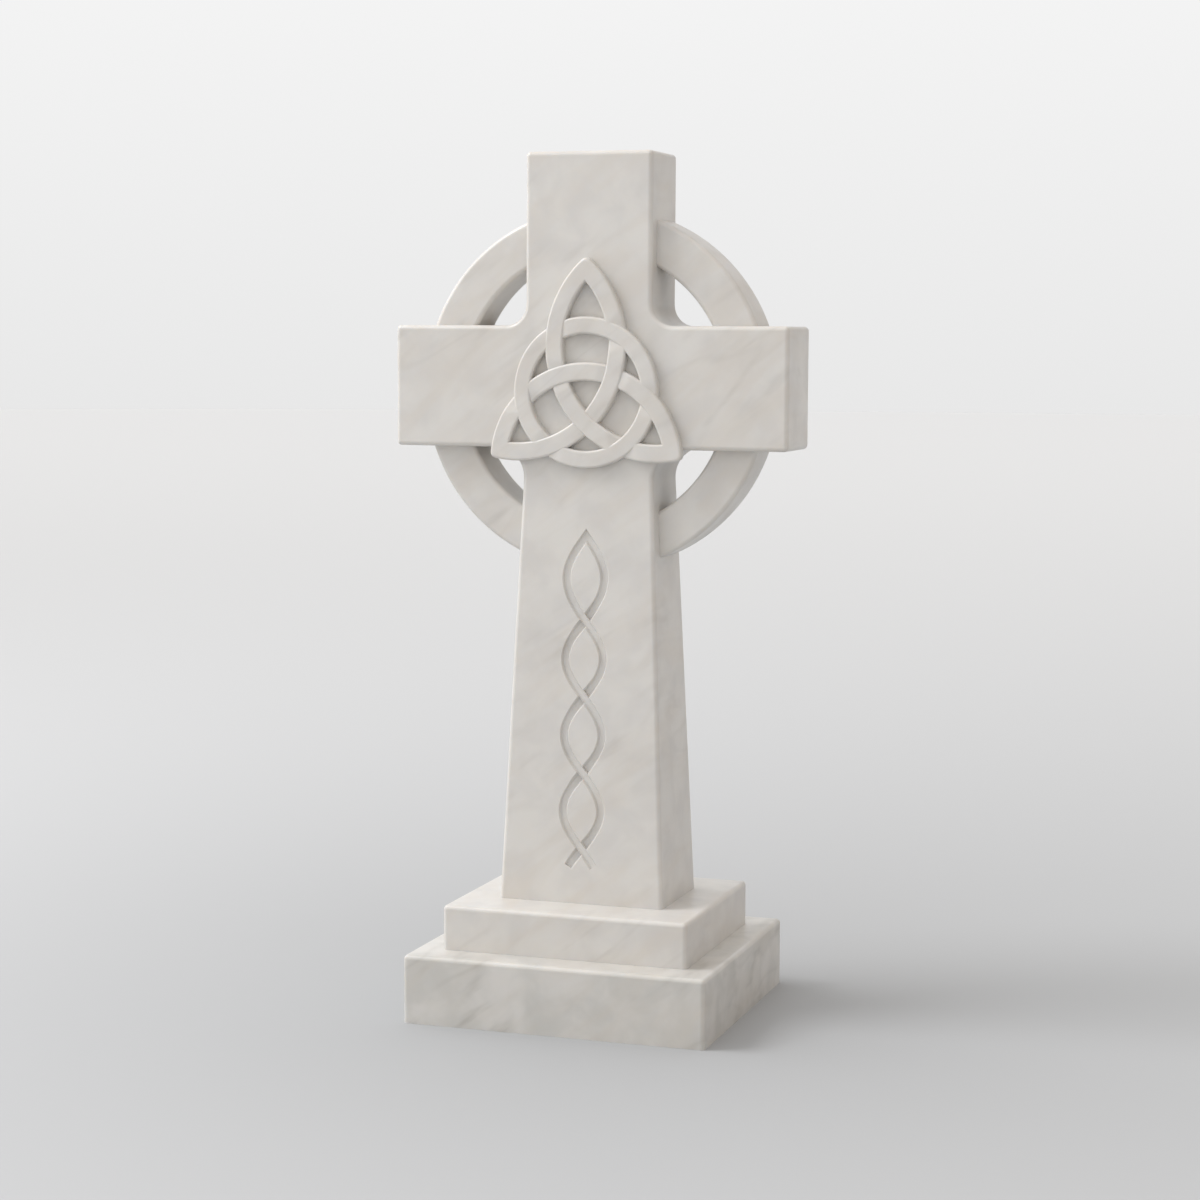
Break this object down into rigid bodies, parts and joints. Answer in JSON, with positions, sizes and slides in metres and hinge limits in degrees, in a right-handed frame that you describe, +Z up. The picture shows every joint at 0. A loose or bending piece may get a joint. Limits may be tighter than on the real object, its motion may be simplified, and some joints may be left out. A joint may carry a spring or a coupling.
{
  "type": "celtic cross headstone",
  "caption": "Carved stone headstone: a ringed cross with a raised interlaced knot and a cut twist down its tapered shaft, on a step and a base slab.",
  "frame": {"origin": "middle of the base slab's underside", "axes": "+Z up the cross, -Y towards the carved front, +X along the arms to the right of someone facing the front"},
  "size_m": [0.57, 0.402, 1.2],
  "materials": {
    "marble": "white marble, honed to a soft sheen"
  },
  "bodies": {
    "root": {"lower_base": "marble", "upper_step": "marble", "cross": "marble"}
  },
  "joints": []
}
